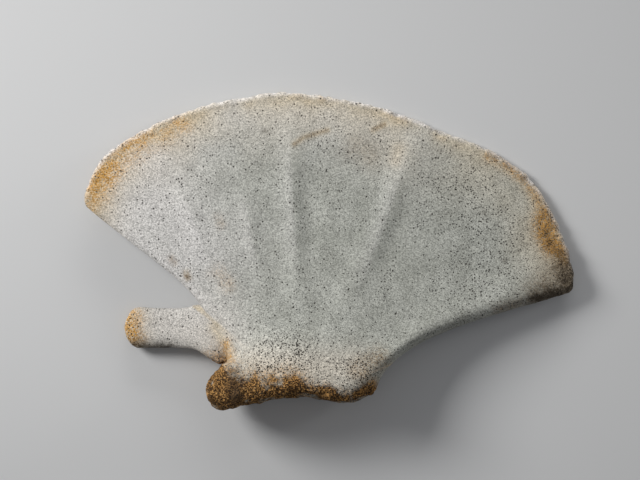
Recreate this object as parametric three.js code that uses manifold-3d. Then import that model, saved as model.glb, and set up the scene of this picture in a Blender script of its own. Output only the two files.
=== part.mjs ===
// The right shoulder blade (scapula) of a rorqual whale at life size, lying on its outer face with the
// rib-side face up.
//
// The bone is shaped in its own axes, in millimetres: X from the front edge to the rear edge of the fan,
// Y from the shoulder socket out to the fan's border, and Z from the outer face to the rib-side face. The
// origin there is the middle of the socket's mouth. At the end the bone is turned to lie as it would rest
// on a floor.

import * as THREE from "three";
import { ConvexHull } from "three/addons/math/ConvexHull.js";
import { mergeVertices } from "three/addons/utils/BufferGeometryUtils.js";
import Module from "manifold-3d";

// Driving dimensions of the fan, seen flat on
const BREADTH = 920; // front corner to rear corner
const FAN_RADIUS = 0.614 * BREADTH; // socket to border
const BORDER = [
  // degrees round from the rear, share of FAN_RADIUS
  [139.6, 0.951],
  [136.6, 0.989],
  [128, 1.027],
  [112, 1.009],
  [93, 0.994],
  [73, 0.975],
  [47, 1.027],
  [33, 1.003],
  [24, 0.969],
  [20.8, 0.94],
];
const BORDER_WAVES = [
  // turns of phase along the border, phase at its front end, height
  [37, 0, 1.8],
  [71, 1, 1.2],
  [113, 2, 0.8],
];

// Thicknesses, each measured from the middle of the plate
const BLADE = { inner: 12, outer: 12 };
const NECK_SWELL = { inner: 13, outer: 15 };
const HEAD = { inner: 70, outer: 80 };
const REAR_BAR = { inner: 15, outer: 13 };
const SPINE_CREST = 16; // low ridge on the outer face that runs up from the acromion
const BOW = 13; // how far the fan's sides bend to the outer face
const SOCKET_DEPTH = 30;
const SOCKET_LIP = 5;

// Shares of the thickness that are lost
const HEAD_TAPER = 0.28; // at the head's front and rear ends
const RIM_ROUNDING = 0.14; // at the rim of the socket
const MARGIN_BEVEL = 0.4; // at the front edge and the border
const REAR_BAR_TAPER = 0.45; // at the border end of the bar along the rear edge

// Radii of the rounded edges
const FRONT_RADIUS = 12;
const REAR_RADIUS = 27;
const BORDER_RADIUS = 9;
const HEAD_RADIUS = 78;
const CORACOID_RADIUS = 46;

// Reach of each form, as shares of the way from socket to border
const CORACOID_REACH = 0.14;
const FLARE_REACH = 0.1;
const RIM_REACH = 0.05;
const NECK_REACH = 0.55;
const SPINE_REACH = { full: 0.2, none: 0.75 };

// Width of each form
const BEVEL_WIDTH = 85;
const REAR_BAR_WIDTH = 48;
const SPINE_FROM_EDGE = 52;
const SPINE_WIDTH = 26;
const SOCKET_LIP_WIDTH = 0.4; // share of the way from the rim to the deepest point
const BOW_LINE = -0.08 * BREADTH; // the line out from the socket where the bow starts

// The acromion: its heights lie in the plane of the fan, its thicknesses across it
const ACROMION = {
  rootHeight: 132,
  barHeight: 74,
  tipSwell: 5,
  rootThickness: 16,
  neckThickness: 38,
  tipThickness: 27,
  tipRadius: 30,
  squareness: 2.6,
};

// Mesh steps
const EDGE_STEPS = 5;
const ACROSS = 38;
const ALONG = 25;
const ROW_CROWDING = 1.25; // rows stand closer together near the socket
const SOCKET_RINGS = 6;
const BAR_STEPS = 13;
const ROUND_STEPS = 24;

const { clamp, degToRad, lerp, smoothstep } = THREE.MathUtils;
const bell = (x) => Math.exp(-x * x);

// Share of a quarter circle's radius that is reached after k of its steps
const quarterRound = (k) => 1 - Math.cos((k / EDGE_STEPS) * 0.5 * Math.PI);

// A point in the plane of the fan, as shares of its breadth
const at = (x, y) => new THREE.Vector2(x * BREADTH, y * BREADTH);

// Low ridges where muscle was fixed: line from the neck outwards, height, and slope widths to each side
const RIDGES = {
  inner: [
    { from: at(-0.17, 0.27), to: at(-0.27, 0.45), height: 1.6, front: 14, rear: 20 },
    { from: at(-0.085, 0.22), to: at(-0.13, 0.46), height: 2.6, front: 12, rear: 17 },
    { from: at(-0.015, 0.2), to: at(-0.03, 0.54), height: 4.6, front: 16, rear: 30 },
    { from: at(0.07, 0.16), to: at(0.22, 0.5), height: 5.2, front: 19, rear: 34 },
  ],
  outer: [
    { from: at(-0.02, 0.24), to: at(-0.08, 0.5), height: 2.4, front: 30, rear: 24 },
    { from: at(0.06, 0.2), to: at(0.17, 0.48), height: 3, front: 34, rear: 26 },
  ],
};

function fanBorder() {
  const points = BORDER.map(([degrees, share]) => {
    const angle = degToRad(degrees);
    const radius = share * FAN_RADIUS;
    return new THREE.Vector2(radius * Math.cos(angle), radius * Math.sin(angle));
  });
  return new THREE.SplineCurve(points);
}

const border = fanBorder();
const frontCorner = border.getPointAt(0);
const rearCorner = border.getPointAt(1);
const mouthFront = at(-0.163, -0.036);
const mouthRear = at(0.141, 0.002);
const coracoidNotch = at(-0.151, 0.058);

// The socket's mouth is arched: it stands out furthest at the coracoid and near its rear end
const mouthArch = [at(-0.095, -0.018), at(-0.01, -0.005), at(0.087, -0.02)];
const mouth = new THREE.SplineCurve([mouthFront, ...mouthArch, mouthRear]);

// The front edge bulges round the coracoid, a blunt knob, and then runs from the notch above it to the
// front corner
const coracoid = new THREE.CubicBezierCurve(mouthFront, at(-0.222, -0.018), at(-0.21, 0.03), coracoidNotch);
const foreEdge = new THREE.CubicBezierCurve(coracoidNotch, at(-0.207, 0.224), at(-0.27, 0.231), frontCorner);
const rearEdge = new THREE.CubicBezierCurve(mouthRear, at(0.163, 0.104), at(0.336, 0.146), rearCorner);

function frontEdgePoint(t) {
  if (t < CORACOID_REACH) return coracoid.getPointAt(t / CORACOID_REACH);
  return foreEdge.getPointAt((t - CORACOID_REACH) / (1 - CORACOID_REACH));
}

function borderPoint(s) {
  const point = border.getPointAt(s);
  const fade = Math.sin(Math.PI * s);
  let wave = 0;
  for (const [rate, phase, height] of BORDER_WAVES) wave += height * Math.sin(rate * s + phase);
  return point.addScaledVector(point.clone().normalize(), wave * fade);
}

// The fan as a patch between its four edges: s runs from the front edge to the rear, t from the socket to
// the border
function planPoint(s, t) {
  const acrossEdges = frontEdgePoint(t).lerp(rearEdge.getPointAt(t), s);
  const alongRays = mouth.getPointAt(s).lerp(borderPoint(s), t);
  const nearCorners = mouthFront.clone().lerp(mouthRear, s);
  const farCorners = frontCorner.clone().lerp(rearCorner, s);
  return acrossEdges.add(alongRays).sub(nearCorners.lerp(farCorners, t));
}

// Share of the full thickness at a distance inside an edge that is rounded by this radius
function rounded(distance, radius) {
  const inside = clamp(distance / radius, 0, 1);
  return Math.sqrt(1 - (1 - inside) ** 2);
}

// Height of the ridges of one face: each fades out over the end quarters of its line and beyond
function ridgeRelief(side, point) {
  let relief = 0;
  for (const { from, to, height, front, rear } of RIDGES[side]) {
    const line = to.clone().sub(from);
    const along = point.clone().sub(from).dot(line) / line.lengthSq();
    const aside = point.clone().sub(from).cross(line) / line.length();
    const pastEnd = Math.max(0, Math.abs(along - 0.5) - 0.25);
    relief += height * bell(pastEnd / 0.31) * bell(aside / (aside < 0 ? front : rear));
  }
  return relief;
}

// Share of the head's flare that is left at this share of the way from socket to border
const flareAt = (t) => 1 / (1 + (t / FLARE_REACH) ** 3);

// How far one face of the bone stands off the middle of the plate
function faceHeight(side, place) {
  const { s, t, point, fromFront, fromRear, fromBorder } = place;
  const flare = flareAt(t);
  const neck = NECK_SWELL[side] * (1 - smoothstep(t, 0, NECK_REACH));
  const atMargin = 1 - smoothstep(Math.min(fromFront, fromBorder), 0, BEVEL_WIDTH);
  const bevel = 1 - MARGIN_BEVEL * atMargin * (1 - flare);
  const bar = REAR_BAR[side] * bell(fromRear / REAR_BAR_WIDTH) * (1 - REAR_BAR_TAPER * t);
  let plate = (BLADE[side] + neck) * bevel + bar + ridgeRelief(side, point) * (1 - flare);
  if (side === "outer") {
    const reach = 1 - smoothstep(t, SPINE_REACH.full, SPINE_REACH.none);
    plate += SPINE_CREST * reach * bell((fromFront - SPINE_FROM_EDGE) / SPINE_WIDTH);
  }
  const taper = 1 - HEAD_TAPER * flare * (2 * s - 1) ** 2;
  const rim = 1 - RIM_ROUNDING * (1 - rounded(t, RIM_REACH));
  return lerp(plate, HEAD[side], flare) * taper * rim;
}

function plateMiddle(point) {
  return -BOW * ((point.x - BOW_LINE) / (0.5 * BREADTH)) ** 2;
}

// Share across the fan of each mesh column: close together round both edges and even between them
function columnShares(width, frontRadius, rearRadius) {
  const shares = [];
  const first = frontRadius / width;
  const last = 1 - rearRadius / width;
  for (let i = 0; i < EDGE_STEPS; i++) shares.push(first * quarterRound(i));
  for (let i = 0; i <= ACROSS; i++) shares.push(lerp(first, last, i / ACROSS));
  for (let i = EDGE_STEPS - 1; i >= 0; i--) shares.push(1 - (1 - last) * quarterRound(i));
  return shares;
}

function rowShares() {
  const rim = BORDER_RADIUS / FAN_RADIUS;
  const shares = [];
  for (let j = 0; j <= ALONG; j++) shares.push((j / ALONG) ** ROW_CROWDING * (1 - rim));
  for (let j = EDGE_STEPS - 1; j >= 0; j--) shares.push(1 - rim * quarterRound(j));
  return shares;
}

// Fan, neck and head as one closed skin: two faces that meet along three edges, and the hollow of the socket
function bladeGeometry() {
  const vertices = [];
  const triangles = [];
  const addVertex = (x, y, z) => vertices.push(x, y, z) / 3 - 1;
  const addQuad = (a, b, c, d) => triangles.push(a, b, c, a, c, d);
  const rows = rowShares();
  const inner = [];
  const outer = [];

  rows.forEach((t, j) => {
    const width = planPoint(0, t).distanceTo(planPoint(1, t));
    const frontRadius = lerp(FRONT_RADIUS, CORACOID_RADIUS, flareAt(t));
    const rearRadius = lerp(REAR_RADIUS, HEAD_RADIUS, flareAt(t));
    const columns = columnShares(width, frontRadius, rearRadius);
    inner.push([]);
    outer.push([]);
    columns.forEach((s, i) => {
      const point = planPoint(s, t);
      const fromBorder = (1 - t) * FAN_RADIUS;
      const place = { s, t, point, fromFront: s * width, fromRear: (1 - s) * width, fromBorder };
      const edge =
        rounded(place.fromFront, frontRadius) *
        rounded(place.fromRear, rearRadius) *
        rounded(fromBorder, BORDER_RADIUS);
      const middle = plateMiddle(point);
      const onEdge = i === 0 || i === columns.length - 1 || j === rows.length - 1;
      const above = onEdge ? 0 : edge * faceHeight("inner", place);
      const below = onEdge ? 0 : edge * faceHeight("outer", place);
      const top = addVertex(point.x, point.y, middle + above);
      inner[j].push(top);
      outer[j].push(onEdge ? top : addVertex(point.x, point.y, middle - below));
    });
  });

  const lastColumn = inner[0].length - 1;
  for (let j = 0; j + 1 < rows.length; j++) {
    for (let i = 0; i < lastColumn; i++) {
      addQuad(inner[j][i], inner[j][i + 1], inner[j + 1][i + 1], inner[j + 1][i]);
      addQuad(outer[j][i + 1], outer[j][i], outer[j + 1][i], outer[j + 1][i + 1]);
    }
  }

  // The socket: rings that shrink from its mouth to the deepest point
  let ring = [...inner[0], ...outer[0].slice(1, lastColumn).reverse()];
  const rim = ring.map((index) => new THREE.Vector3().fromArray(vertices, 3 * index));
  const deepest = rim.reduce((sum, p) => sum.add(p), new THREE.Vector3()).divideScalar(rim.length);
  deepest.y += SOCKET_DEPTH;
  for (let k = 1; k < SOCKET_RINGS; k++) {
    const size = 1 - k / SOCKET_RINGS;
    const lip = SOCKET_LIP * Math.sin(Math.PI * clamp((1 - size) / SOCKET_LIP_WIDTH, 0, 1));
    const next = rim.map((p) => {
      const across = deepest.clone().lerp(p, size);
      return addVertex(across.x, lerp(deepest.y, p.y, size * size) - lip, across.z);
    });
    ring.forEach((index, i) => {
      const after = (i + 1) % ring.length;
      addQuad(ring[after], index, next[i], next[after]);
    });
    ring = next;
  }
  const bottom = addVertex(...deepest);
  ring.forEach((index, i) => triangles.push(ring[(i + 1) % ring.length], index, bottom));
  return closedGeometry(vertices, triangles);
}

function closedGeometry(vertices, triangles) {
  const geometry = new THREE.BufferGeometry();
  geometry.setAttribute("position", new THREE.Float32BufferAttribute(vertices, 3));
  geometry.setIndex(triangles);
  return mergeVertices(geometry, 1e-3);
}

// A flattened bony bar along a curve, rooted in the bone at its start and rounded off at its end
function barGeometry({ path, height, thickness, tip, squareness }) {
  const vertices = [];
  const triangles = [];
  const length = path.getLength();
  const power = (x) => Math.sign(x) * Math.abs(x) ** (2 / squareness);
  const rings = [];
  const shares = [];
  for (let j = 0; j < BAR_STEPS; j++) shares.push((j / BAR_STEPS) * (1 - tip / length));
  for (let j = EDGE_STEPS; j > 0; j--) shares.push(1 - (tip / length) * quarterRound(j));
  for (const share of shares) {
    const centre = path.getPointAt(share);
    const forward = path.getTangentAt(share);
    const thickWay = new THREE.Vector3(0, 0, 1).addScaledVector(forward, -forward.z).normalize();
    const highWay = new THREE.Vector3().crossVectors(thickWay, forward);
    const end = rounded((1 - share) * length, tip);
    const halfHeight = 0.5 * height(share) * end;
    const halfThickness = 0.5 * thickness(share) * end;
    const ring = [];
    for (let i = 0; i < ROUND_STEPS; i++) {
      const angle = (i / ROUND_STEPS) * 2 * Math.PI;
      const point = centre
        .clone()
        .addScaledVector(highWay, halfHeight * power(Math.cos(angle)))
        .addScaledVector(thickWay, halfThickness * power(Math.sin(angle)));
      ring.push(vertices.push(...point) / 3 - 1);
    }
    rings.push(ring);
  }
  const start = vertices.push(...path.getPointAt(0)) / 3 - 1;
  const end = vertices.push(...path.getPointAt(1)) / 3 - 1;
  for (let i = 0; i < ROUND_STEPS; i++) {
    const next = (i + 1) % ROUND_STEPS;
    triangles.push(start, rings[0][next], rings[0][i]);
    triangles.push(end, rings.at(-1)[i], rings.at(-1)[next]);
    for (let j = 0; j + 1 < rings.length; j++) {
      const [low, high] = [rings[j], rings[j + 1]];
      triangles.push(low[i], low[next], high[next], low[i], high[next], high[i]);
    }
  }
  return closedGeometry(vertices, triangles);
}

// The acromion, a flat bar that leaves the outer face near the front edge and points forwards past it
function acromionGeometry() {
  const { rootHeight, barHeight, tipSwell, rootThickness, neckThickness, tipThickness } = ACROMION;
  const off = (x, y, z) => new THREE.Vector3(x * BREADTH, y * BREADTH, z);
  const path = new THREE.CatmullRomCurve3([
    off(-0.1, 0.12, -12),
    off(-0.155, 0.124, -24),
    off(-0.211, 0.135, -39),
    off(-0.26, 0.135, -50),
    off(-0.366, 0.138, -58),
  ]);
  const height = (share) =>
    lerp(rootHeight, barHeight, smoothstep(share, 0.05, 0.6)) + tipSwell * bell((share - 0.94) / 0.1);
  const thickness = (share) =>
    lerp(rootThickness, neckThickness, smoothstep(share, 0, 0.3)) -
    (neckThickness - tipThickness) * smoothstep(share, 0.35, 0.8);
  return barGeometry({ path, height, thickness, tip: ACROMION.tipRadius, squareness: ACROMION.squareness });
}

const wasm = await Module();
wasm.setup();

function solidOf(geometry) {
  const vertProperties = new Float32Array(geometry.attributes.position.array);
  const triVerts = new Uint32Array(geometry.index.array);
  return new wasm.Manifold(new wasm.Mesh({ numProp: 3, vertProperties, triVerts }));
}

function geometryOf(solid) {
  const { vertProperties, triVerts } = solid.getMesh();
  const geometry = new THREE.BufferGeometry();
  geometry.setAttribute("position", new THREE.BufferAttribute(vertProperties, 3));
  geometry.setIndex(new THREE.BufferAttribute(triVerts, 1));
  return geometry;
}

// Middle of the weight of a closed surface, from the cones between its triangles and the origin
function weightCentre(geometry) {
  const { position } = geometry.attributes;
  const corner = (i) => new THREE.Vector3().fromBufferAttribute(position, geometry.index.getX(i));
  const sum = new THREE.Vector3();
  let volume = 0;
  for (let i = 0; i < geometry.index.count; i += 3) {
    const [a, b, c] = [corner(i), corner(i + 1), corner(i + 2)];
    const cone = a.dot(b.clone().cross(c)) / 6;
    sum.addScaledVector(a.add(b).add(c), cone / 4);
    volume += cone;
  }
  return sum.divideScalar(volume);
}

// The turn that lays the bone down: of the hull's faces under the middle of the weight, the one that faces
// most outwards
function restingTurn(geometry) {
  const centre = weightCentre(geometry);
  const { position } = geometry.attributes;
  const points = [];
  for (let i = 0; i < position.count; i++) points.push(new THREE.Vector3().fromBufferAttribute(position, i));
  const down = new THREE.Vector3(0, 0, -1);
  let best = null;
  for (const face of new ConvexHull().setFromPoints(points).faces) {
    const corners = [face.edge.prev, face.edge, face.edge.next].map((edge) => edge.head().point);
    const triangle = new THREE.Triangle(...corners);
    const under = triangle.getPlane(new THREE.Plane()).projectPoint(centre, new THREE.Vector3());
    if (!triangle.containsPoint(under)) continue;
    if (!best || face.normal.dot(down) > best.dot(down)) best = face.normal;
  }
  return new THREE.Quaternion().setFromUnitVectors(best, down);
}

const bone = solidOf(bladeGeometry()).add(solidOf(acromionGeometry()));
const weatheredBone = new THREE.MeshStandardMaterial({ color: 0xb9b9b0, roughness: 0.9, metalness: 0 });
const scapula = new THREE.Mesh(geometryOf(bone), weatheredBone);
scapula.name = "scapula";

// Laid down, with the origin on the floor under the middle of its outline
scapula.quaternion.copy(restingTurn(scapula.geometry));
scapula.updateMatrixWorld();
const outline = new THREE.Box3().setFromObject(scapula, true);
const middle = outline.getCenter(new THREE.Vector3());
scapula.position.set(-middle.x, -middle.y, -outline.min.z);

const whaleBone = new THREE.Group();
whaleBone.add(scapula);

export default whaleBone;
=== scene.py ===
"""Gives the shoulder blade of a rorqual whale its weathered surface, and sets it on a pale studio floor."""

from itertools import product

import bmesh
import bpy
import numpy as np
from bpy.props import FloatProperty, FloatVectorProperty, IntProperty, PointerProperty
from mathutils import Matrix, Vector
from mathutils.bvhtree import BVHTree


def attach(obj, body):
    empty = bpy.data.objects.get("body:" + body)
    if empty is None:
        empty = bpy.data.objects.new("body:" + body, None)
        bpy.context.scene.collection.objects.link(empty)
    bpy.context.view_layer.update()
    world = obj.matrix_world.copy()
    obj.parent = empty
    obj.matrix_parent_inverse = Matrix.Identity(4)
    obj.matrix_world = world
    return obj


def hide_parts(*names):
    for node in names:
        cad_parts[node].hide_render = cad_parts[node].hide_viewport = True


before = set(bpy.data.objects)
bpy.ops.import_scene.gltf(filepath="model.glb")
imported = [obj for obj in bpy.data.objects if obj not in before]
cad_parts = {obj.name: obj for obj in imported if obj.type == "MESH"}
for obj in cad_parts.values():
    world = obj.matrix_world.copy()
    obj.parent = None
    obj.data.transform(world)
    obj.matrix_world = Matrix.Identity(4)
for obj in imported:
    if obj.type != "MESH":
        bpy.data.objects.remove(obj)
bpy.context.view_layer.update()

bl_info = {
    "name": "Whale Shoulder Blade",
    "version": (1, 0, 0),
    "blender": (4, 5, 0),
    "location": "View3D > Sidebar > Bone",
    "description": "Models and finishes the shoulder blade of a rorqual whale on a studio floor",
    "category": "Object",
}

SOLID = "scapula"
BODY = "root"

# The mouth of the shoulder socket seen from its own end, across and up, in metres
SOCKET_MIDDLE = (-0.058, 0.075)
SOCKET_HALF = (0.125, 0.062)

# Places on the bone seen from above, in metres from the middle of its outline
SOCKET = (-0.045, -0.262)
FRONT_CORNER = [(-0.447, 0.095), (-0.425, 0.135), (-0.395, 0.175), (-0.345, 0.215), (-0.285, 0.245)]
FRONT_RUST = [(-0.432, 0.122), (-0.415, 0.15)]
FRONT_EDGE = [(-0.44, 0.076), (-0.37, 0.02), (-0.296, -0.03), (-0.238, -0.095)]
LIT_FRONT_FACE = [(-0.365, 0.11), (-0.27, 0.0)]
FRONT_MARKS = ([(-0.294, -0.012), (-0.287, -0.022)], [(-0.265, -0.041), (-0.262, -0.049)])
FRONT_FLECKS = ([(-0.207, 0.062), (-0.203, 0.05)], [(-0.208, -0.04), (-0.19, -0.062)])
REAR_FACE = [(0.22, 0.12), (0.32, 0.04), (0.27, -0.07)]
REAR_RUST = [(0.4, 0.058), (0.404, 0.03), (0.414, 0.012)]
REAR_STREAK = [(0.432, 0.004), (0.441, -0.018)]
REAR_BORDER = [(0.298, 0.1775), (0.331, 0.161), (0.361, 0.135), (0.387, 0.098), (0.42, 0.045)]
REAR_CORNER = [(0.447, -0.04), (0.44, -0.066), (0.4, -0.085)]
SHADED_REAR_EDGE = [
    (0.442, -0.078),
    (0.379, -0.092),
    (0.309, -0.111),
    (0.248, -0.13),
    (0.19, -0.151),
    (0.147, -0.173),
]
ACROMION_TIP = [(-0.372, -0.125), (-0.376, -0.145), (-0.368, -0.168)]
ACROMION_UNDER = [(-0.365, -0.178), (-0.3, -0.182)]
ACROMION_BAR = [(-0.33, -0.142), (-0.22, -0.15)]
NECK_FOLD = [(-0.212, -0.142), (-0.19, -0.172), (-0.185, -0.194), (-0.188, -0.209)]
CORACOID = [(-0.21, -0.238), (-0.2, -0.262), (-0.178, -0.264)]
CORACOID_SHADED_SIDE = [(-0.176, -0.228), (-0.169, -0.262)]
RIM = [(-0.165, -0.27), (-0.1, -0.263), (-0.055, -0.258), (-0.01, -0.262), (0.036, -0.272), (0.08, -0.255)]
RIM_PATCH = [(-0.13, -0.247), (-0.072, -0.234)]
RIM_END = [(0.078, -0.245), (0.082, -0.258)]
RIM_BAND = [(-0.12, -0.208), (0.03, -0.216)]
NECK = [(-0.105, -0.175), (-0.055, -0.165)]
NECK_REAR = [(0.06, -0.215), (0.09, -0.2)]
STREAKS = (
    [(-0.065, 0.199), (-0.048, 0.211), (-0.026, 0.218), (-0.004, 0.225)],
    [(0.082, 0.226), (0.102, 0.236)],
)
CREST_SPOT = [(0.128, 0.19), (0.123, 0.168)]
DENT_STAIN = [(0.046, 0.19), (0.074, 0.178)]
DENT = [(0.088, 0.19), (0.098, 0.182)]
SPECKS = ((-0.12, 0.222), (0.205, 0.187), (0.288, 0.072), (0.325, -0.017))
FRONT_RIDGE = [(-0.286, 0.13), (-0.249, 0.039), (-0.222, -0.04)]
SHORT_RIDGE = [(-0.165, 0.13), (-0.1475, 0.03), (-0.133, -0.05)]
LONG_RIDGE = [(-0.0775, 0.28), (-0.0755, 0.187), (-0.0705, 0.094), (-0.064, 0.002), (-0.058, -0.085)]
REAR_RIDGE = [(0.158, 0.22), (0.135, 0.15), (0.1065, 0.067), (0.078, -0.007), (0.044, -0.105)]

# Stains and textures of the surface, with painted shade and painted highlights among them: strength, line
# and reach
STAINS = {
    "cream": [
        (0.5, FRONT_CORNER, 0.05),
        (0.5, ACROMION_TIP, 0.03),
        (0.6, NECK_FOLD, 0.012),
        (0.45, RIM_BAND, 0.04),
        (0.2, ACROMION_BAR, 0.06),
        (0.35, REAR_RUST, 0.055),
        (0.4, CREST_SPOT, 0.014),
        (0.1, DENT_STAIN, 0.03),
        (0.5, STREAKS[0], 0.006),
        (0.4, STREAKS[1], 0.006),
        (0.3, FRONT_MARKS[1], 0.007),
    ],
    "ochre": [
        (0.54, FRONT_CORNER, 0.03),
        (0.6, FRONT_RUST, 0.02),
        (0.78, REAR_RUST, 0.018),
        (0.7, REAR_STREAK, 0.011),
        (0.22, REAR_BORDER, 0.012),
        (0.75, ACROMION_TIP, 0.022),
        (0.75, NECK_FOLD[1:3], 0.009),
        (0.55, RIM_PATCH, 0.024),
        (0.4, CORACOID, 0.05),
        (0.3, NECK_REAR, 0.02),
        (0.16, STREAKS[0], 0.0045),
        (0.14, STREAKS[1], 0.0045),
        (0.7, RIM_END, 0.01),
        (0.18, FRONT_FLECKS[0], 0.009),
        (0.22, FRONT_FLECKS[1], 0.015),
        (0.2, FRONT_MARKS[0], 0.006),
        (0.25, FRONT_MARKS[1], 0.006),
        (0.3, REAR_CORNER, 0.03),
        (0.06, DENT_STAIN, 0.022),
    ],
    "umber_and_shade": [
        (3.0, CORACOID, 0.034),
        (1.5, RIM[:4], 0.019),
        (1.4, RIM[3:], 0.015),
        (1.0, RIM_PATCH, 0.02),
        (0.45, REAR_RUST, 0.018),
        (0.3, REAR_STREAK, 0.012),
        # Painted shade along the rounded underside of the rear edge
        (0.3, SHADED_REAR_EDGE[:3], 0.012),
        # At the rear corner this brown is partly a stain, partly painted shade where the corner curves away
        # from the light
        (0.4, REAR_CORNER, 0.02),
        (0.25, REAR_BORDER, 0.006),
    ],
    "grime_and_shade": [
        # The rear corner's darkening is partly grey-brown soiling, partly painted shade
        (0.95, REAR_CORNER, 0.036),
        # Painted shade along the rounded underside of the rear edge
        (0.16, SHADED_REAR_EDGE, 0.018),
        (0.75, ACROMION_UNDER, 0.013),
        # Painted shade on the coracoid's right side and in the groove between it and the rim
        (0.5, CORACOID_SHADED_SIDE, 0.014),
        (0.28, FRONT_MARKS[0], 0.006),
        (0.4, FRONT_MARKS[1], 0.006),
        (0.36, STREAKS[0], 0.0042),
        (0.3, STREAKS[1], 0.0042),
        (0.35, NECK_REAR, 0.022),
        (0.14, DENT_STAIN, 0.025),
    ],
    "chalk_and_highlight": [
        (0.9, ACROMION_BAR, 0.06),
        (0.6, RIM_BAND, 0.035),
        # Painted light: a broad whitening of the front of the fan, where the key light falls brightest
        (0.9, LIT_FRONT_FACE, 0.115),
        (0.45, FRONT_EDGE, 0.012),
        (0.4, CREST_SPOT, 0.012),
    ],
    "peppered": [
        (0.95, REAR_FACE, 0.11),
        (0.35, ACROMION_BAR, 0.06),
    ],
    "spongy": [
        (1.1, CORACOID, 0.045),
        (1.0, RIM, 0.022),
        (0.75, RIM_BAND, 0.04),
        (0.75, NECK, 0.035),
        (0.7, NECK_REAR, 0.03),
        (0.8, ACROMION_TIP, 0.022),
        (0.4, FRONT_CORNER, 0.03),
        (0.7, REAR_RUST, 0.03),
        (0.6, REAR_CORNER, 0.03),
        (0.4, DENT_STAIN, 0.03),
    ],
}

# Stains along the border, with wear and a painted highlight on its edge: strength and reach
BORDER_CREAM = (0.6, 0.026)
BORDER_WARMTH = (0.5, 0.09)
BORDER_CHALK = (0.75, 0.09)
BORDER_OCHRE = (0.15, 0.014)
BORDER_WEAR_AND_HIGHLIGHT = (0.75, 0.0065)
BORDER_SPONGE = (0.45, 0.012)

# Where some of these set in and are full, or start to fade and are gone: in the clouds, or across the fan
WARMTH_CLOUDS = (-1.1, 0.3)
OCHRE_CLOUDS = (0, 0.7)
CHALK_FADE = (0.05, 0.3)

# How stains are mottled: the even share, and what the clouds and the speckle add to it
MOTTLE = {
    "cream": (0.8, 0.4, 0),
    "ochre": (0.85, 0.5, 0.3),
    "umber_and_shade": (0.85, 0.4, 0.35),
    "grime_and_shade": (0.9, 0.35, 0.3),
    "worn_and_highlit": (0.9, 0, 0.5),
}

# Strengths of the lesser stains and of the painted highlight on the ridges' crests, and how much cleaner
# the socket is
CREST_HIGHLIGHT = 0.25
SPECK_GRIME = 0.35
SPECK_REACH = 0.006
SOCKET_CREAM = 0.5
SOCKET_CLEAN = 0.75

# Random fields: size in metres, seed and number of octaves
CLOUD = (0.03, 11, 4)
SPECKLE = (0.008, 12, 2)
WIDE_CLOUD = (0.09, 13, 2)
BROAD_WAVES = (0.07, 1, 3)
BORDER_RAGS = (0.018, 2, 3)
BROWN_LUMPS = (0.026, 8, 3)
SPONGE_LUMPS = (0.014, 9, 3)

# Scattered pits: spacing and radius in metres, and seed
BORDER_BITES = (0.02, 0.007, 3)
SPONGE_PITS = (0.0085, 0.003, 6)
PIT_LEAST = 0.4  # smallest pit, as a share of that radius
PIT_SPREAD = 1.1  # what the largest pit adds to that

# Relief of the border, the dent and the spongy bone
RAGGED_REACH = 0.011
BORDER_SWELL = 0.4  # share of the border's wear
BITE_DEPTH = 1.5  # share of it
DENT_REACH = 0.026
SPONGE_LUMP_SHARE = 0.5  # share of the depth of the pits

# Whole numbers that turn the place of a cell into a random value
CELL_MIX = (73856093, 19349663, 83492791)
SEED_MIX = 2654435761
SCRAMBLE = 1274126177
FIRST_SHIFT = 13
LAST_SHIFT = 16
RANDOM_TOP = 0xFFFFFF

# The fan's border, in degrees round the socket
BORDER_DEGREES = (18, 144)
BORDER_WINDOW = 1
FAR_FROM_BORDER = 1  # metres, for what lies outside these degrees

# Making of the mesh
WELD_DISTANCE = 1e-5
PAIRING_ANGLE = 0.7  # radians
ROUNDING_LEVELS = 2
SMOOTHING_SHARE = 0.5
FILL_ROUNDS = 60
FACING = (0.3, 0.7)  # how squarely a surface looks one way: from not at all to fully
# Nearer the rim the socket keeps the rim's dark brown, as painted shade
SOCKET_FADE = (0.5, 0.85)  # shares of the way from the socket's middle to its rim

# Laying the surface out flat, in metres
MAP_LEAN = 0.4  # share of a normal, from which a face counts to the top or the underside
MAP_CELL = 0.004
MAP_COLUMNS = 1000  # more cells than the bone takes up either way
MAP_HIDDEN = 0.012  # how far behind the foremost face a hidden one lies
MAP_SHEET = 2  # room for each side
MAP_SIDES = 6
MAP_MARGIN = 0.002  # share of the finished map

# Ridges of the rib-side face, where muscle was fixed: line from the border to the neck, height, widths of
# the slopes to the front and to the rear, and depth of the hollow behind
RIDGES = (
    (FRONT_RIDGE, 0.003, 0.024, 0.014, 0.001),
    (SHORT_RIDGE, 0.0032, 0.02, 0.014, 0.0015),
    (LONG_RIDGE, 0.0028, 0.024, 0.02, 0.0045),
    (REAR_RIDGE, 0.002, 0.02, 0.018, 0.0022),
)
CREST_RADIUS = 0.008
BORDER_END_FADE = 0.4  # shares of a ridge's length over which it fades out
NECK_END_FADE = 0.35
HOLLOW_PLACE = 1.5  # distance of the hollow behind a ridge, in widths of the rear slope
HOLLOW_START = (0.25, 0.55)  # shares of the ridge's length where its hollow begins and is full

# Patterns of the material: size in metres, detail and roughness
CLUMPS = (0.0029, 2.0, 0.7)
TONES = (0.045, 3.0, 0.5)
GILDING = (0.016, 2.0, 0.5)
GRAIN_SIZE = 0.0015

# Pores: spacing in metres, radius as a share of it, and share of the places that have one
WIDE_PORES = (0.0115, 0.165, 0.7)
SMALL_PORES = (0.0056, 0.29, 0.42)
FINE_PORES = (0.0034, 0.33, 0.4)
PEPPER_PORES = (0.0046, 0.42, 0.75)
SPONGE_SPACING = 0.0033
SPONGE_SHARE = 0.9
SPONGE_OPENING = (0.42, 0.7)
PORE_CHANCE = (-0.6, 1.0)  # how the radii vary
PORE_FLOOR = 0.65  # share of the radius that is fully dark

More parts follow.
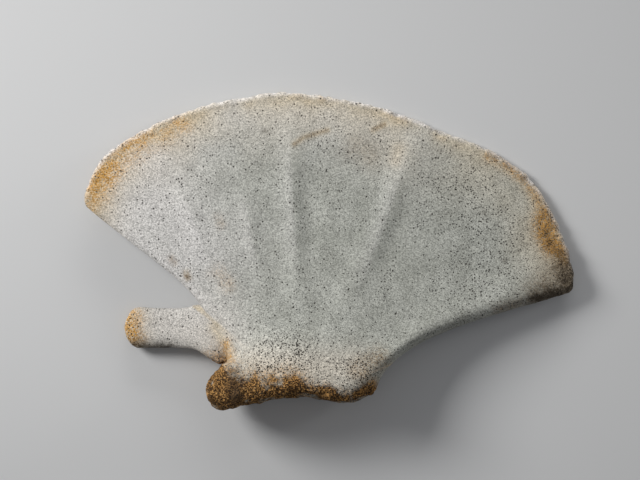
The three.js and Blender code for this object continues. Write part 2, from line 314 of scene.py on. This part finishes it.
# How dark the lesser pores are painted, as shade in their holes
FINE_DARKNESS = 0.6
PEPPER_DARKNESS = 0.9
SPONGE_DARKNESS = 0.96

# Between which values of a pattern its patches turn from low to high
TONE_EDGES = (0.3, 0.7)
OPENING_EDGES = (0.35, 0.65)
GILDING_EDGES = (0.35, 0.65)
STAIN_EDGES = (0.38, 0.6)
TAN_EDGES = (0.42, 0.62)

# How much of each stain the patches leave, from low to high
RUST_SPAN = (0.3, 1.6)
GILDING_SPAN = (0.6, 1.1)
DIRT_AND_SHADE_SPAN = (0.75, 1.2)
DIRT_AND_SHADE_MOST = 0.95
CHALK_AND_HIGHLIGHT_COVER = 0.75

# Grain and gloss
GRAIN_SHADE = (0.57, 1.43)
GRAIN_HEIGHT = 0.3
BUMP_STRENGTH = 0.6
BUMP_DEPTH = 0.0012
BONE_ROUGHNESS = (0.78, 0.96)
BONE_GLOSS = 0.1
FLOOR_ROUGHNESS = 0.9
FLOOR_GLOSS = 0.2

# Soft lights: place, aim, and length of the two sides, in metres
KEY_LIGHT = ((-2.8, 1.52, 1.84), (0, 0, 0), (1.45, 1.45))
BORDER_LIGHT = ((0.4, 4.0, 1.2), (0, 0.2, 0), (4.8, 0.8))
REAR_LIGHT = ((4.0, 1.6, 0.9), (0.3, 0, 0), (0.8, 2.4))
LIGHT_SPREAD = 1.2  # radians
SKY_COLOUR = (0.93, 0.95, 1.0, 1.0)
CAMERA_PLACE = (-0.0175, 0.0203)

# The colour sockets of a mixing node, by number
MIX_LOW = 6
MIX_HIGH = 7
MIX_RESULT = 2


# Fields over the bone, worked out for arrays of points in metres


def cell_value(cells, seed):
    """A repeatable random number from 0 to 1 for each whole-numbered cell of a lattice."""
    whole = cells.astype(np.int64)
    mixed = np.bitwise_xor.reduce(whole * CELL_MIX, axis=1) ^ (seed * SEED_MIX)
    mixed = (mixed ^ (mixed >> FIRST_SHIFT)) * SCRAMBLE
    mixed = mixed ^ (mixed >> LAST_SHIFT)
    return (mixed & RANDOM_TOP) / RANDOM_TOP


def drift(points, size, seed, octaves=1):
    """Smooth random values, mostly from -1 to 1, that change over about this size and its finer octaves."""
    total = np.zeros(len(points))
    for octave in range(octaves):
        scaled = points * (2**octave / size)
        base = np.floor(scaled)
        share = scaled - base
        ease = share * share * (3 - 2 * share)
        for corner in product((0, 1), repeat=3):
            weight = np.prod(np.where(corner, ease, 1 - ease), axis=1)
            total += weight * (2 * cell_value(base + corner, seed + octave) - 1) / 2**octave
    return total


def pits(points, spacing, radius, seed):
    """Depth from 0 to 1 of round pits of uneven size, about this radius, scattered about this far apart."""
    scaled = points / spacing
    base = np.floor(scaled)
    depth = np.zeros(len(points))
    for shift in product((-1, 0, 1), repeat=3):
        cells = base + shift
        centres = cells + np.stack([cell_value(cells, seed + axis) for axis in range(3)], axis=1)
        reach = radius * (PIT_LEAST + PIT_SPREAD * cell_value(cells, seed + 3))
        depth = np.maximum(depth, 1 - (np.linalg.norm(scaled - centres, axis=1) * spacing / reach) ** 2)
    return depth


def rise(values, low, high):
    """A soft step from 0 at low to 1 at high."""
    share = np.clip((values - low) / (high - low), 0, 1)
    return share * share * (3 - 2 * share)


def bell(distance, reach):
    return np.exp(-((distance / reach) ** 2))


def line_places(points, line):
    """Each point's distance from a line in plan, side of it (1 to its left) and share of its length."""
    plan = points[:, :2]
    nearest = np.full(len(points), np.inf)
    side = np.zeros(len(points))
    along = np.zeros(len(points))
    corners = np.array(line)
    spans = np.linalg.norm(np.diff(corners, axis=0), axis=1)
    before = np.concatenate(([0], np.cumsum(spans)))
    for start, end, span, done in zip(corners[:-1], corners[1:], spans, before):
        way = (end - start) / span
        reach = np.clip((plan - start) @ way, 0, span)
        offset = plan - start - reach[:, None] * way
        distance = np.linalg.norm(offset, axis=1)
        closer = distance < nearest
        nearest[closer] = distance[closer]
        side[closer] = np.sign(way[0] * offset[closer, 1] - way[1] * offset[closer, 0])
        along[closer] = (done + reach[closer]) / before[-1]
    return nearest, side, along


def near(points, line, reach):
    """1 on a line seen from above, fading out over about this reach."""
    return bell(line_places(points, line)[0], reach)


def ridge_taper(along):
    """1 along the middle of a ridge, fading out towards both ends."""
    return rise(along, 0, BORDER_END_FADE) * rise(1 - along, 0, NECK_END_FADE)


def crest(points, line, front):
    """Painted highlight: 1 on the crest of a ridge, fading out towards its ends, down its front slope and
    sooner behind.
    """
    distance, side, along = line_places(points, line)
    return ridge_taper(along) * bell(distance, np.where(side > 0, CREST_RADIUS / 2, front))


def ridge(points, line, height, front, rear, hollow):
    """Height of a ridge that is steeper on its rear slope, with a hollow behind it."""
    distance, side, along = line_places(points, line)
    taper = ridge_taper(along)
    fall = np.sqrt(distance**2 + CREST_RADIUS**2) - CREST_RADIUS
    slope = np.exp(-fall / np.where(side > 0, rear, front))
    dip = bell(distance - HOLLOW_PLACE * rear, rear) * (side > 0) * rise(along, *HOLLOW_START)
    return taper * (height * slope - hollow * dip)


def from_border(points):
    """Distance in from the curved border of the fan, seen from above."""
    out = points[:, :2] - np.array(SOCKET)
    radius = np.linalg.norm(out, axis=1)
    angle = np.degrees(np.arctan2(out[:, 1], out[:, 0]))
    degrees = np.arange(*BORDER_DEGREES)
    edge = [radius[np.abs(angle - degree) < BORDER_WINDOW].max(initial=0) for degree in degrees]
    distance = np.interp(angle, degrees, edge) - radius
    distance[(angle < degrees[0]) | (angle > degrees[-1])] = FAR_FROM_BORDER
    return distance


# The bone's surface


def copy_of_solid(name):
    """The solid's surface as a new object, with its split corners welded and its triangles paired."""
    work = bmesh.new()
    work.from_mesh(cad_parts[SOLID].data)
    bmesh.ops.remove_doubles(work, verts=work.verts, dist=WELD_DISTANCE)
    pairing = {"angle_face_threshold": PAIRING_ANGLE, "angle_shape_threshold": PAIRING_ANGLE}
    bmesh.ops.join_triangles(work, faces=work.faces, **pairing)
    mesh = bpy.data.meshes.new(name)
    work.to_mesh(mesh)
    work.free()
    bone = bpy.data.objects.new(name, mesh)
    bpy.context.scene.collection.objects.link(bone)
    return bone


def round_off(bone, shape):
    """Rounds the facets off and gives the bone an even, dense mesh."""
    rounding = bone.modifiers.new("Rounding", "SUBSURF")
    rounding.levels = ROUNDING_LEVELS
    even = bone.modifiers.new("Even mesh", "REMESH")
    even.mode = "VOXEL"
    even.voxel_size = shape.mesh_step
    smooth = bone.modifiers.new("Smoothing", "SMOOTH")
    smooth.factor = SMOOTHING_SHARE
    smooth.iterations = shape.smoothing
    graph = bpy.context.evaluated_depsgraph_get()
    bone_mesh = bpy.data.meshes.new_from_object(bone.evaluated_get(graph))
    bone.modifiers.clear()
    bone.data = bone_mesh


def vertex_arrays(mesh):
    """The mesh's points and normals as arrays."""
    points = np.empty(3 * len(mesh.vertices), np.float32)
    normals = np.empty_like(points)
    mesh.vertices.foreach_get("co", points)
    mesh.vertices.foreach_get("normal", normals)
    return points.reshape(-1, 3).astype(float), normals.reshape(-1, 3).astype(float)


def move(mesh, points):
    mesh.vertices.foreach_set("co", points.astype(np.float32).ravel())
    mesh.update()


def evened(mesh, values, rounds):
    """The values averaged with those of neighbouring vertices, this many times over."""
    ends = np.empty(2 * len(mesh.edges), np.int32)
    mesh.edges.foreach_get("vertices", ends)
    first, second = ends.reshape(-1, 2).T
    count = len(values)
    neighbours = np.bincount(first, minlength=count) + np.bincount(second, minlength=count)
    for _ in range(rounds):
        total = np.bincount(first, values[second], count) + np.bincount(second, values[first], count)
        values = 0.5 * (values + total / neighbours)
    return values


def fill_out(mesh, rounds):
    """Brings the surface back out to the solid's size, where the rounding had drawn it in."""
    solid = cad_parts[SOLID].data
    tree = BVHTree.FromPolygons([v.co for v in solid.vertices], [f.vertices for f in solid.polygons])
    points, normals = vertex_arrays(mesh)
    nearest = np.array([tree.find_nearest(point)[0] for point in points])
    gap = np.einsum("ij,ij->i", nearest - points, normals)
    move(mesh, points + normals * evened(mesh, gap, rounds)[:, None])


def in_socket(points, normals):
    """1 on the floor of the shoulder socket, fading out towards its rim, where the dark brown is left as
    painted shade.
    """
    out = np.linalg.norm((points[:, [0, 2]] - SOCKET_MIDDLE) / SOCKET_HALF, axis=1)
    return (1 - rise(out, *SOCKET_FADE)) * rise(-normals[:, 1], *FACING)


def surface_masks(points, normals):
    """Where each stain, texture, painted shade and painted highlight of the surface lies, from 0 to 1 at
    each vertex.
    """
    masks = {
        name: sum(strength * near(points, line, reach) for strength, line, reach in places)
        for name, places in STAINS.items()
    }
    border = from_border(points)
    cloud = drift(points, *CLOUD)
    speckle = drift(points, *SPECKLE)
    wide = drift(points, *WIDE_CLOUD)
    mottle = {
        name: even + by_cloud * cloud + by_speckle * speckle
        for name, (even, by_cloud, by_speckle) in MOTTLE.items()
    }

    def band(strength, reach):
        return strength * bell(border, reach)

    masks["cream"] += band(*BORDER_CREAM) * mottle["cream"]
    masks["cream"] += band(*BORDER_WARMTH) * rise(wide, *WARMTH_CLOUDS)
    masks["chalk_and_highlight"] += band(*BORDER_CHALK) * (1 - rise(points[:, 0], *CHALK_FADE))
    masks["ochre"] += band(*BORDER_OCHRE) * rise(cloud, *OCHRE_CLOUDS)
    for name in ("ochre", "umber_and_shade", "grime_and_shade"):
        masks[name] *= mottle[name]
    # A thin white line on the border's edge: partly wear, partly painted highlight of the edge
    masks["worn_and_highlit"] = band(*BORDER_WEAR_AND_HIGHLIGHT) * mottle["worn_and_highlit"]
    # Painted highlights on the ridges' crests, spreading down the front slopes that face the light
    for line, _, front, _, _ in RIDGES:
        masks["chalk_and_highlight"] += CREST_HIGHLIGHT * crest(points, line, front)
    masks["spongy"] += band(*BORDER_SPONGE)
    for speck in SPECKS:
        distance = np.linalg.norm(points[:, :2] - np.array(speck), axis=1)
        masks["grime_and_shade"] += SPECK_GRIME * bell(distance, SPECK_REACH) * (1 + speckle)
    socket = in_socket(points, normals)
    masks["cream"] += SOCKET_CREAM * socket * (1 + cloud)
    for name in ("umber_and_shade", "ochre", "spongy"):
        masks[name] = np.clip(masks[name], 0, 1) * (1 - SOCKET_CLEAN * socket)
    return {name: np.clip(mask, 0, 1) for name, mask in masks.items()}


def relief(points, normals, masks, shape):
    """How far the finished surface stands out from the smooth bone, in metres."""
    ragged = bell(from_border(points), RAGGED_REACH)
    ribs_side = rise(normals[:, 2], *FACING)
    height = shape.unevenness * drift(points, *BROAD_WAVES)
    for form in RIDGES:
        height += ribs_side * ridge(points, *form)
    height -= ribs_side * shape.dent_depth * near(points, DENT, DENT_REACH)
    height += shape.border_wear * ragged * (drift(points, *BORDER_RAGS) + BORDER_SWELL)
    height -= BITE_DEPTH * shape.border_wear * ragged * pits(points, *BORDER_BITES)
    height -= shape.pit_depth * masks["spongy"] * pits(points, *SPONGE_PITS)
    height += SPONGE_LUMP_SHARE * shape.pit_depth * masks["spongy"] * drift(points, *SPONGE_LUMPS)
    height += shape.knob_lumps * masks["umber_and_shade"] * drift(points, *BROWN_LUMPS)
    return height


def store(mesh, masks):
    for name, mask in masks.items():
        layer = mesh.attributes.new(name, "FLOAT", "POINT")
        layer.data.foreach_set("value", mask.astype(np.float32))


def lay_out_map(bone, normals):
    """Lays the surface out flat: each of six sides seen straight on, and what lies hidden on it apart."""
    mesh = bone.data
    points, _ = vertex_arrays(mesh)
    corner_vertex = np.empty(len(mesh.loops), np.int32)
    mesh.loops.foreach_get("vertex_index", corner_vertex)
    corners = np.empty(len(mesh.polygons), np.int32)
    mesh.polygons.foreach_get("loop_total", corners)
    face = np.repeat(np.arange(len(corners)), corners)

    def face_means(values):
        sums = [np.bincount(face, values[corner_vertex, axis]) for axis in range(3)]
        return np.stack(sums, axis=1) / corners[:, None]

    middles = face_means(points)
    lean = face_means(normals)
    rows = np.arange(len(corners))
    axis = np.where(np.abs(lean[:, 2]) > MAP_LEAN, 2, np.argmax(np.abs(lean[:, :2]), axis=1))
    sign = np.where(lean[rows, axis] > 0, 1, -1)
    depth = middles[rows, axis] * sign
    side = 2 * axis + (sign > 0)
    column = np.floor(middles[rows, (axis + 1) % 3] / MAP_CELL) + MAP_COLUMNS / 2
    row = np.floor(middles[rows, (axis + 2) % 3] / MAP_CELL) + MAP_COLUMNS / 2
    _, place = np.unique((side * MAP_COLUMNS + column) * MAP_COLUMNS + row, return_inverse=True)
    foremost = np.full(place.max() + 1, -np.inf)
    np.maximum.at(foremost, place, depth)
    sheet = side + MAP_SIDES * (depth < foremost[place] - MAP_HIDDEN)

    across = points[corner_vertex, (axis[face] + 1) % 3] * sign[face] + MAP_SHEET * sheet[face]
    up = points[corner_vertex, (axis[face] + 2) % 3]
    layer = mesh.uv_layers.new(name="OFBake")
    layer.uv.foreach_set("vector", np.stack([across, up], axis=1).astype(np.float32).ravel())
    bpy.context.view_layer.objects.active = bone
    bone.select_set(True)
    bpy.ops.object.mode_set(mode="EDIT")
    bpy.ops.mesh.select_all(action="SELECT")
    bpy.ops.uv.select_all(action="SELECT")
    bpy.ops.uv.pack_islands(
        rotate=False, shape_method="AABB", margin_method="FRACTION", margin=MAP_MARGIN
    )
    bpy.ops.object.mode_set(mode="OBJECT")
    bone.select_set(False)


# Shader nodes


def wire(tree, kind, inputs=None, **settings):
    """A new shader node, with each named or numbered input set to a value or joined to a socket."""
    node = tree.nodes.new("ShaderNode" + kind)
    for name, value in settings.items():
        setattr(node, name, value)
    for key, value in (inputs or {}).items():
        if isinstance(value, bpy.types.NodeSocket):
            tree.links.new(value, node.inputs[key])
        else:
            node.inputs[key].default_value = value
    return node


def maths(tree, operation, *values):
    return wire(tree, "Math", dict(enumerate(values)), operation=operation).outputs[0]


def blend(tree, share, low, high, way="MIX"):
    """Colour low, with this share of colour high blended in."""
    inputs = {0: share, MIX_LOW: low, MIX_HIGH: high}
    return wire(tree, "Mix", inputs, data_type="RGBA", blend_type=way).outputs[MIX_RESULT]


def step(tree, value, low, high):
    """A soft step from 0 to 1 as the value goes from low to high."""
    inputs = {"Value": value, "From Min": low, "From Max": high}
    return wire(tree, "MapRange", inputs, interpolation_type="SMOOTHSTEP").outputs["Result"]


def spread(tree, share, low, high):
    """A value from low to high as the share goes from 0 to 1."""
    return wire(tree, "MapRange", {"Value": share, "To Min": low, "To Max": high}).outputs["Result"]


def pore_group():
    """Node group: a mask of round pores scattered through the bone."""
    tree = bpy.data.node_groups.new("Bone pores", "ShaderNodeTree")
    tree.interface.new_socket("Position", in_out="INPUT", socket_type="NodeSocketVector")
    for name, default in (("Spacing", 0.006), ("Size", 0.3), ("Share", 0.6)):
        socket = tree.interface.new_socket(name, in_out="INPUT", socket_type="NodeSocketFloat")
        socket.default_value = default
    tree.interface.new_socket("Mask", in_out="OUTPUT", socket_type="NodeSocketFloat")
    given = tree.nodes.new("NodeGroupInput").outputs
    density = maths(tree, "DIVIDE", 1.0, given["Spacing"])
    inputs = {"Vector": given["Position"], "Scale": density}
    cells = wire(tree, "TexVoronoi", inputs, voronoi_dimensions="3D")
    chance = wire(tree, "SeparateColor", {0: cells.outputs["Color"]})
    radius = maths(tree, "MULTIPLY", given["Size"], step(tree, chance.outputs[1], *PORE_CHANCE))
    inside = maths(tree, "MULTIPLY", radius, PORE_FLOOR)
    hole = maths(tree, "SUBTRACT", 1.0, step(tree, cells.outputs["Distance"], inside, radius))
    kept = maths(tree, "LESS_THAN", chance.outputs[0], given["Share"])
    out = tree.nodes.new("NodeGroupOutput")
    tree.links.new(maths(tree, "MULTIPLY", hole, kept), out.inputs["Mask"])
    return tree


def weathered_bone(colours):
    """Material: pale, porous, weathered bone with cream, ochre, brown and grey-brown stains, with painted
    shade and painted highlights laid on as well.
    """
    material = bpy.data.materials.new("weathered_bone")
    material.use_nodes = True
    tree = material.node_tree
    tree.nodes.clear()
    position = wire(tree, "TexCoord").outputs["Object"]
    names = (*STAINS, "worn_and_highlit")
    mask = {name: wire(tree, "Attribute", attribute_name=name).outputs["Fac"] for name in names}
    group = pore_group()

    def times(first, second):
        return maths(tree, "MULTIPLY", first, second)

    def most(first, second):
        return maths(tree, "MAXIMUM", first, second)

    def patches(pattern, edges, span):
        return spread(tree, step(tree, pattern, *edges), *span)

    def pores(spacing, size, share):
        inputs = {"Position": position, "Spacing": spacing, "Size": size, "Share": share}
        return wire(tree, "Group", inputs, node_tree=group).outputs["Mask"]

    def noise(size, detail, roughness):
        inputs = {"Vector": position, "Scale": 1 / size, "Detail": detail, "Roughness": roughness}
        return wire(tree, "TexNoise", inputs).outputs["Fac"]

    clump = noise(*CLUMPS)
    fine_pores = times(pores(*FINE_PORES), FINE_DARKNESS)
    opening = times(mask["spongy"], patches(clump, OPENING_EDGES, SPONGE_OPENING))
    sponge = times(pores(SPONGE_SPACING, opening, SPONGE_SHARE), SPONGE_DARKNESS)
    spacing, size, share = PEPPER_PORES
    pepper = times(pores(spacing, times(mask["peppered"], size), share), PEPPER_DARKNESS)
    hollow = most(most(pores(*WIDE_PORES), pores(*SMALL_PORES)), fine_pores)
    hollow = most(most(hollow, pepper), sponge)

    inputs = {"Vector": position, "Scale": 1 / GRAIN_SIZE}
    grains = wire(tree, "TexVoronoi", inputs, voronoi_dimensions="3D")
    grain = wire(tree, "SeparateColor", {0: grains.outputs["Color"]}).outputs[0]
    tone = step(tree, noise(*TONES), *TONE_EDGES)
    colour = blend(tree, tone, tuple(colours.grey), tuple(colours.pale))
    # Chalky bone, with painted light on the front of the fan and painted highlights on the ridges' crests
    colour = blend(tree, times(mask["chalk_and_highlight"], CHALK_AND_HIGHLIGHT_COVER), colour, tuple(colours.chalk_and_highlight))
    colour = blend(tree, mask["cream"], colour, tuple(colours.cream))
    rust = maths(tree, "MINIMUM", times(mask["ochre"], patches(clump, STAIN_EDGES, RUST_SPAN)), 1.0)
    colour = blend(tree, rust, colour, tuple(colours.ochre))
    # The border's edge whitened: partly wear, partly painted highlight
    colour = blend(tree, mask["worn_and_highlit"], colour, tuple(colours.chalk_and_highlight))
    gilded = patches(noise(*GILDING), GILDING_EDGES, GILDING_SPAN)
    free_of_grime_and_shade = maths(tree, "SUBTRACT", 1.0, mask["grime_and_shade"])
    tan_share = times(times(step(tree, clump, *TAN_EDGES), gilded), free_of_grime_and_shade)
    brown = blend(tree, tan_share, tuple(colours.umber_and_shade), tuple(colours.tan))
    # Brown stains, and painted shade at the rear corner, the rear edge and inside the socket's rim
    colour = blend(tree, mask["umber_and_shade"], colour, brown)
    # Grey-brown soiling, and painted shade at the rear corner, the rear edge and the coracoid's side
    dirt_and_shade = times(mask["grime_and_shade"], patches(clump, STAIN_EDGES, DIRT_AND_SHADE_SPAN))
    dirt_and_shade = maths(tree, "MINIMUM", dirt_and_shade, DIRT_AND_SHADE_MOST)
    colour = blend(tree, dirt_and_shade, colour, tuple(colours.grime_and_shade))
    shade = spread(tree, grain, *GRAIN_SHADE)
    shading = wire(tree, "CombineColor", {0: shade, 1: shade, 2: shade}).outputs[0]
    colour = blend(tree, 1.0, colour, shading, "MULTIPLY")
    # The pores darkened to near black: painted shade of their holes
    colour = blend(tree, hollow, colour, tuple(colours.pore_shade))

    height = maths(tree, "SUBTRACT", times(grain, GRAIN_HEIGHT), hollow)
    inputs = {"Strength": BUMP_STRENGTH, "Distance": BUMP_DEPTH, "Height": height}
    bump = wire(tree, "Bump", inputs).outputs["Normal"]
    roughness = spread(tree, most(grain, hollow), *BONE_ROUGHNESS)
    inputs = {
        "Base Color": colour,
        "Normal": bump,
        "Roughness": roughness,
        "Specular IOR Level": BONE_GLOSS,
    }
    surface = wire(tree, "BsdfPrincipled", inputs)
    wire(tree, "OutputMaterial", {"Surface": surface.outputs[0]})
    return material


def floor_material(colour):
    """Material: plain matte floor."""
    material = bpy.data.materials.new("pale_floor")
    material.use_nodes = True
    surface = material.node_tree.nodes["Principled BSDF"]
    surface.inputs["Base Color"].default_value = tuple(colour)
    surface.inputs["Roughness"].default_value = FLOOR_ROUGHNESS
    surface.inputs["Specular IOR Level"].default_value = FLOOR_GLOSS
    return material


# Settings


def length(name, default, description):
    return FloatProperty(name=name, description=description, default=default, unit="LENGTH", precision=4)


def tint(name, default, description):
    settings = {"size": 4, "min": 0, "max": 1, "subtype": "COLOR"}
    return FloatVectorProperty(name=name, description=description, default=(*default, 1), **settings)


def power(name, default, description):
    return FloatProperty(name=name, description=description, default=default, min=0)


class BoneShape(bpy.types.PropertyGroup):
    """Sizes of the bone's surface."""

    mesh_step: length("Mesh step", 0.002, "Size of the faces of the bone's mesh")
    smoothing: IntProperty(name="Smoothing", description="Rounds of smoothing", default=14, min=0)
    unevenness: length("Unevenness", 0.0008, "Height of the broad waves of the surface")
    border_wear: length("Border wear", 0.0022, "How far the worn border is ragged")
    dent_depth: length("Dent depth", 0.0025, "Depth of the shallow dent under the border")
    knob_lumps: length("Knob lumps", 0.0036, "Height of the lumps of the coracoid and the socket's rim")
    pit_depth: length("Pit depth", 0.0018, "Depth of the pits in spongy bone")


class BoneColours(bpy.types.PropertyGroup):
    """Colours of the weathered bone."""

    grey: tint("Grey", (0.338, 0.342, 0.303), "Darker clouds of the bone's face")
    pale: tint("Pale", (0.422, 0.426, 0.382), "Paler clouds of the bone's face")
    # Also used for painted light: the front of the fan, the ridges' crests and the border's edge
    chalk_and_highlight: tint("Chalk", (0.64, 0.615, 0.595), "Whitest bone, as on the acromion and the front of the fan")
    cream: tint("Cream", (0.53, 0.455, 0.335), "Warm tone of the border, the tips and the socket")
    ochre: tint("Ochre", (0.485, 0.262, 0.068), "Rusty stains")
    # Also laid on as painted shade at the rear corner, the rear edge and inside the socket's rim
    umber_and_shade: tint("Umber", (0.042, 0.018, 0.006), "Brown of the coracoid and the socket's rim")
    # Also laid on as painted shade: the rear corner, the rear edge and the coracoid's shaded side
    grime_and_shade: tint("Grime", (0.055, 0.043, 0.03), "Grey-brown dirt of the rear corner and of the specks")
    tan: tint("Tan", (0.52, 0.285, 0.095), "Pale grains of the brown parts")
    # Painted shade inside the pores
    pore_shade: tint("Pore", (0.022, 0.018, 0.014), "Inside of the pores")


class StudioStage(bpy.types.PropertyGroup):
    """Floor, light and camera."""

    floor: tint("Floor", (0.62, 0.62, 0.615), "Pale matte floor")
    floor_size: length("Floor size", 30.0, "Side of the floor")
    key_power: power("Key power", 21.0, "Watts of the soft light at the upper left")
    border_power: power("Border power", 15.0, "Watts of the long light behind the fan's border")
    rear_power: power("Rear power", 5.0, "Watts of the low light at the rear corner")
    sky: power("Sky", 0.21, "Strength of the even light from all round")
    lens: FloatProperty(name="Lens", description="Focal length in millimetres", default=120.0, min=1)
    picture_width: length("Picture width", 1.187, "What the picture spans at the height of the blade")
    blade_height: length("Blade height", 0.05, "Height of the middle of the blade above the floor")


# Operators


class ScapulaOperator(bpy.types.Operator):
    """Make the weathered shoulder blade over its solid"""

    bl_idname = "bone.scapula"
    bl_label = "Shoulder Blade"

    def execute(self, context):
        shape = context.scene.bone_shape
        bone = copy_of_solid("shoulder_blade")
        round_off(bone, shape)
        fill_out(bone.data, FILL_ROUNDS)
        points, normals = vertex_arrays(bone.data)
        masks = surface_masks(points, normals)
        points += normals * relief(points, normals, masks, shape)[:, None]
        points[:, 2] = np.maximum(points[:, 2], 0)
        move(bone.data, points)
        store(bone.data, masks)
        bone.data.shade_smooth()
        lay_out_map(bone, normals)
        bone.data.materials.clear()
        bone.data.materials.append(weathered_bone(context.scene.bone_colours))
        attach(bone, BODY)
        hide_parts(SOLID)
        return {"FINISHED"}


def soft_light(name, place, target, size, watts):
    lamp = bpy.data.lights.new(name, "AREA")
    lamp.shape = "RECTANGLE"
    lamp.size, lamp.size_y = size
    lamp.energy = watts
    lamp.spread = LIGHT_SPREAD
    light = bpy.data.objects.new(name, lamp)
    light.location = place
    light.rotation_euler = (Vector(target) - light.location).to_track_quat("-Z", "Y").to_euler()
    bpy.context.scene.collection.objects.link(light)


class StageOperator(bpy.types.Operator):
    """Set the floor, the soft lights and the camera"""

    bl_idname = "bone.stage"
    bl_label = "Studio Stage"

    def execute(self, context):
        scene = context.scene
        stage = scene.bone_stage
        half = stage.floor_size / 2
        mesh = bpy.data.meshes.new("floor")
        corners = [(-half, -half, 0), (half, -half, 0), (half, half, 0), (-half, half, 0)]
        mesh.from_pydata(corners, [], [(0, 1, 2, 3)])
        mesh.materials.append(floor_material(stage.floor))
        floor = bpy.data.objects.new("floor", mesh)
        scene.collection.objects.link(floor)

        world = bpy.data.worlds.new("studio")
        world.use_nodes = True
        sky = world.node_tree.nodes["Background"]
        sky.inputs["Color"].default_value = SKY_COLOUR
        sky.inputs["Strength"].default_value = stage.sky
        scene.world = world
        soft_light("key_light", *KEY_LIGHT, stage.key_power)
        soft_light("border_light", *BORDER_LIGHT, stage.border_power)
        soft_light("rear_light", *REAR_LIGHT, stage.rear_power)

        lens = bpy.data.cameras.new("camera")
        lens.lens = stage.lens
        camera = bpy.data.objects.new("camera", lens)
        distance = stage.picture_width * stage.lens / lens.sensor_width
        camera.location = (*CAMERA_PLACE, stage.blade_height + distance)
        scene.collection.objects.link(camera)
        scene.camera = camera
        scene.view_settings.view_transform = "Standard"
        return {"FINISHED"}


class BonePanel(bpy.types.Panel):
    """Lists the bone's settings and operators"""

    bl_idname = "VIEW3D_PT_whale_bone"
    bl_label = "Whale Bone"
    bl_space_type = "VIEW_3D"
    bl_region_type = "UI"
    bl_category = "Bone"

    def draw(self, context):
        for name, group in SETTINGS.items():
            for setting in group.__annotations__:
                self.layout.prop(getattr(context.scene, name), setting)
        self.layout.operator(ScapulaOperator.bl_idname)
        self.layout.operator(StageOperator.bl_idname)


SETTINGS = {"bone_shape": BoneShape, "bone_colours": BoneColours, "bone_stage": StudioStage}
CLASSES = (*SETTINGS.values(), ScapulaOperator, StageOperator, BonePanel)


def register():
    for kind in CLASSES:
        bpy.utils.register_class(kind)
    for name, group in SETTINGS.items():
        setattr(bpy.types.Scene, name, PointerProperty(type=group))


def unregister():
    for name in SETTINGS:
        delattr(bpy.types.Scene, name)
    for kind in reversed(CLASSES):
        bpy.utils.unregister_class(kind)


def main():
    register()
    bpy.ops.bone.scapula()
    bpy.ops.bone.stage()


if __name__ == "__main__":
    main()
